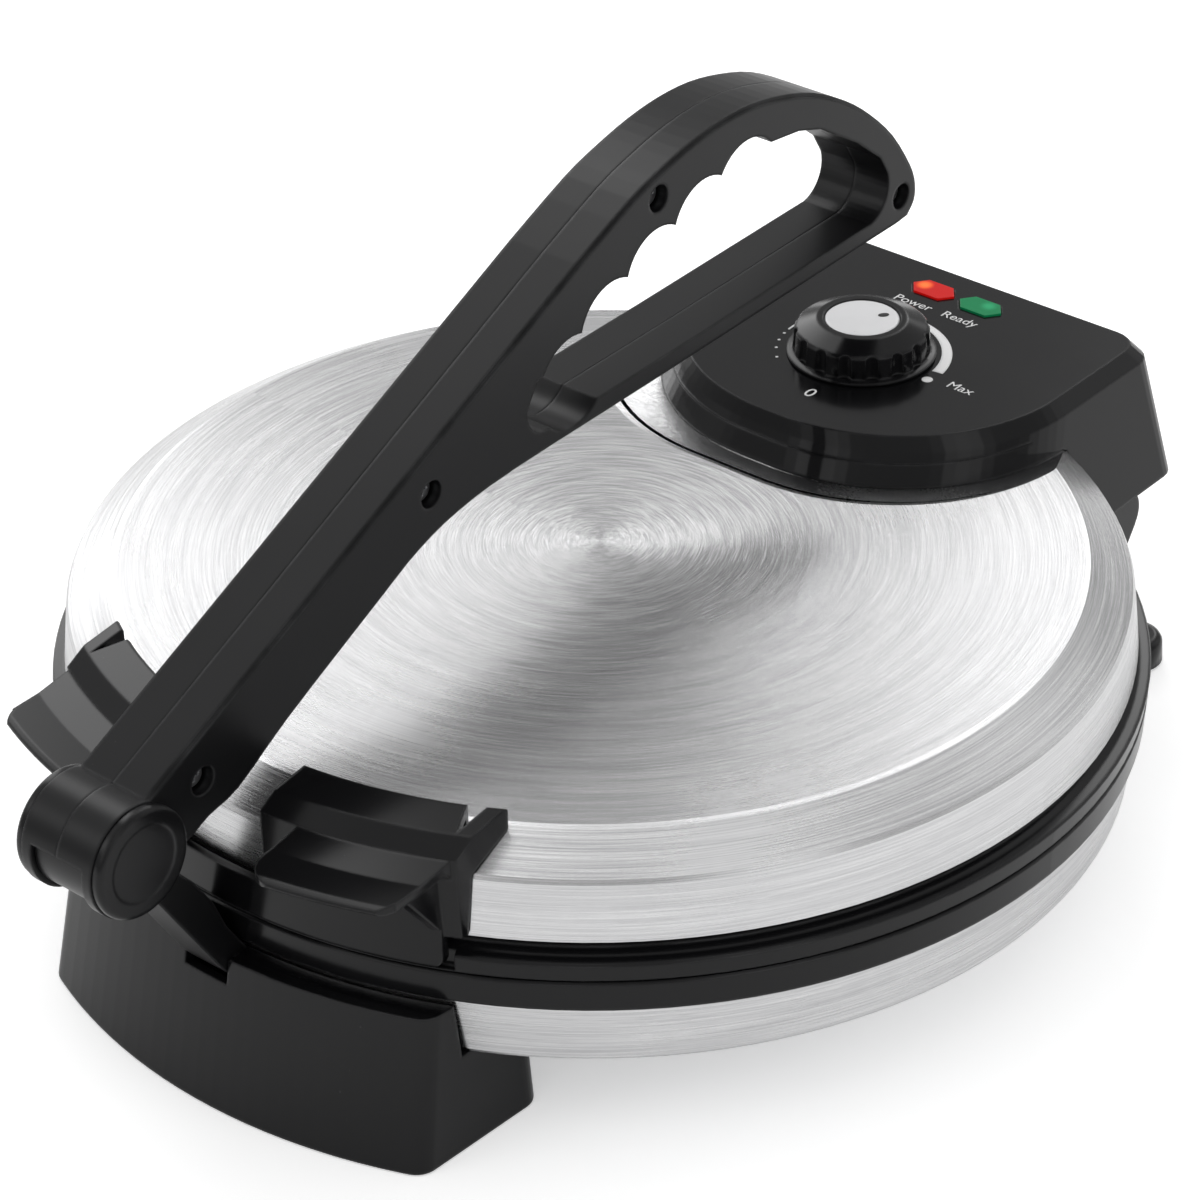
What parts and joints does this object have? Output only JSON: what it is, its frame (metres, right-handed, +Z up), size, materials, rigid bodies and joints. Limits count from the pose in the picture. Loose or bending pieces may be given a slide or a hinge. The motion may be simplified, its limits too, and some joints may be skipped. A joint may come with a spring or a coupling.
{
  "type": "electric roti maker",
  "caption": "Electric flatbread press with round stainless base and hinged lid, a folding press arm on a swinging link, a grip with wings and a fluted heat control.",
  "frame": {"origin": "on the table under the middle of the part's bounding box", "axes": "+Z up, -Y towards the front where the press arm's barrel is, +X to the user's right"},
  "size_m": [0.295, 0.376, 0.1997],
  "materials": {
    "stainless": "circular brushed",
    "black_gloss": "gloss moulded",
    "black_satin": "satin moulded",
    "plate_coating": "non-stick coated cast aluminium",
    "zinc_steel": "zinc plated",
    "heater_sheath": "heat-stained sheath",
    "ceramic": "moulded ceramic",
    "rubber": "matte",
    "red_lens": "clear red",
    "green_lens": "clear green",
    "lamp_glass": "clear",
    "silver_insert": "fine turned"
  },
  "bodies": {
    "base": {"lower_shell": "stainless", "base_ring": "black_gloss", "bottom_cover": "zinc_steel", "lower_plate": "plate_coating", "lower_heater": "heater_sheath", "lower_reflector": "zinc_steel", "lower_posts": "zinc_steel", "front_foot": "black_gloss", "hinge_block": "black_satin", "rear_legs": "black_satin", "rubber_feet": "rubber", "hinge_pin": "zinc_steel", "cord_gland": "black_satin", "terminal_block": "ceramic", "thermal_fuse": "zinc_steel", "link_pin": "zinc_steel", "cover_screws": "zinc_steel"},
    "link": {"link": "black_satin"},
    "arm": {"arm_right": "black_satin", "arm_left": "black_satin", "barrel_axle": "zinc_steel", "barrel_cap_right": "black_satin", "barrel_cap_left": "black_satin", "arm_screws": "zinc_steel"},
    "lid": {"lid_shell": "stainless", "lid_ring": "black_gloss", "upper_plate": "plate_coating", "upper_heater": "heater_sheath", "upper_reflector": "zinc_steel", "upper_posts": "zinc_steel", "front_grip": "black_gloss", "control_housing": "black_gloss", "hinge_arms": "black_satin", "thermostat_body": "ceramic", "thermostat_bracket": "zinc_steel", "red_lens": "red_lens", "green_lens": "green_lens", "indicator_lamps": "lamp_glass", "housing_screws": "zinc_steel"},
    "knob": {"knob": "black_gloss", "knob_insert": "silver_insert", "knob_shaft": "zinc_steel"}
  },
  "joints": [
    {"name": "lid_hinge", "type": "hinge", "parent": "base", "child": "lid", "pos_m": [0, 0.166, 0.045], "axis": [-1, 0, 0], "range_deg": [0, 70]},
    {"name": "link_pivot", "type": "hinge", "parent": "base", "child": "link", "pos_m": [0, -0.139, 0.04], "axis": [1, 0, 0], "range_deg": [0, 42]},
    {"name": "arm_pivot", "type": "hinge", "parent": "link", "child": "arm", "pos_m": [0, -0.173, 0.0926], "axis": [1, 0, 0], "range_deg": [0, 122.5]},
    {"name": "knob_turn", "type": "hinge", "parent": "lid", "child": "knob", "pos_m": [0, 0.1263, 0.0945], "axis": [0, 0, 1], "range_deg": [-53, 223]}
  ],
  "couplings": [
    {"joint": "link_pivot", "follows": "lid_hinge", "ratio": 0.6},
    {"joint": "arm_pivot", "follows": "lid_hinge", "ratio": 1.75}
  ]
}
